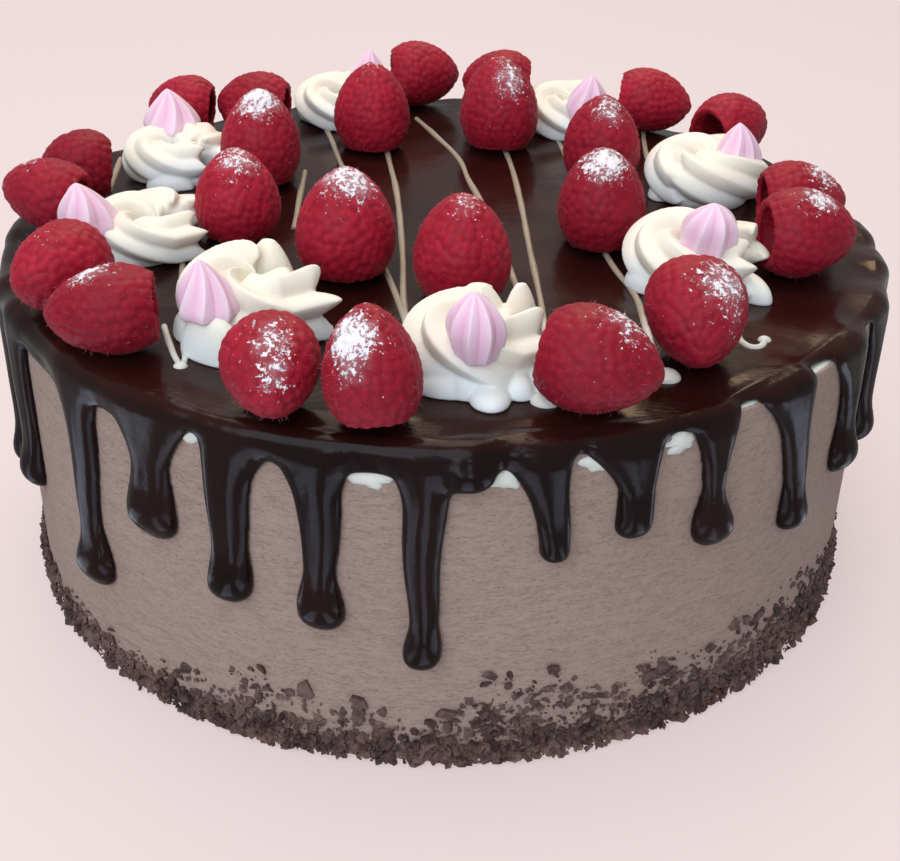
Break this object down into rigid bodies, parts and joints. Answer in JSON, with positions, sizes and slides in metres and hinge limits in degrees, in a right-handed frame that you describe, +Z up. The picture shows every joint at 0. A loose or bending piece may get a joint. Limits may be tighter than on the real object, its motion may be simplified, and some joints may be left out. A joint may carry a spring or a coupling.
{
  "type": "chocolate berry cake",
  "caption": "Round layer cake with chocolate frosting, a glossy ganache drip, a foot of chocolate flakes, and piped cream rosettes, pink stars and fresh berries on top.",
  "frame": {"origin": "centre of the flat underside, where the cake's axis meets the surface it stands on", "axes": "+Z up along the cake's axis, -Y towards the picture's front, +X to the picture's right"},
  "size_m": [0.2391, 0.2398, 0.1163],
  "materials": {
    "chocolate_frosting": "matt chocolate buttercream with dark chocolate flakes round its foot",
    "cream": "soft white cream",
    "ganache": "glossy dark chocolate ganache with thin white drizzle",
    "ivory_cream": "satin piped cream",
    "pink_cream": "satin piped pink cream",
    "berry_red": "velvety red berry, some dusted with powdered sugar"
  },
  "bodies": {
    "root": {"cake_body": "chocolate_frosting", "cream_layer": "cream", "ganache": "ganache", "rosette_1": "ivory_cream", "rosette_2": "ivory_cream", "rosette_3": "ivory_cream", "rosette_4": "ivory_cream", "rosette_5": "ivory_cream", "rosette_6": "ivory_cream", "rosette_7": "ivory_cream", "rosette_8": "ivory_cream", "star_1": "pink_cream", "star_2": "pink_cream", "star_3": "pink_cream", "star_4": "pink_cream", "star_5": "pink_cream", "star_6": "pink_cream", "star_7": "pink_cream", "star_8": "pink_cream", "berry_01": "berry_red", "berry_02": "berry_red", "berry_03": "berry_red", "berry_04": "berry_red", "berry_05": "berry_red", "berry_06": "berry_red", "berry_07": "berry_red", "berry_08": "berry_red", "berry_09": "berry_red", "berry_10": "berry_red", "berry_11": "berry_red", "berry_12": "berry_red", "berry_13": "berry_red", "berry_14": "berry_red", "berry_15": "berry_red", "berry_16": "berry_red", "berry_17": "berry_red", "berry_18": "berry_red", "berry_19": "berry_red", "berry_20": "berry_red", "berry_21": "berry_red", "berry_22": "berry_red", "berry_23": "berry_red", "berry_24": "berry_red"}
  },
  "joints": []
}
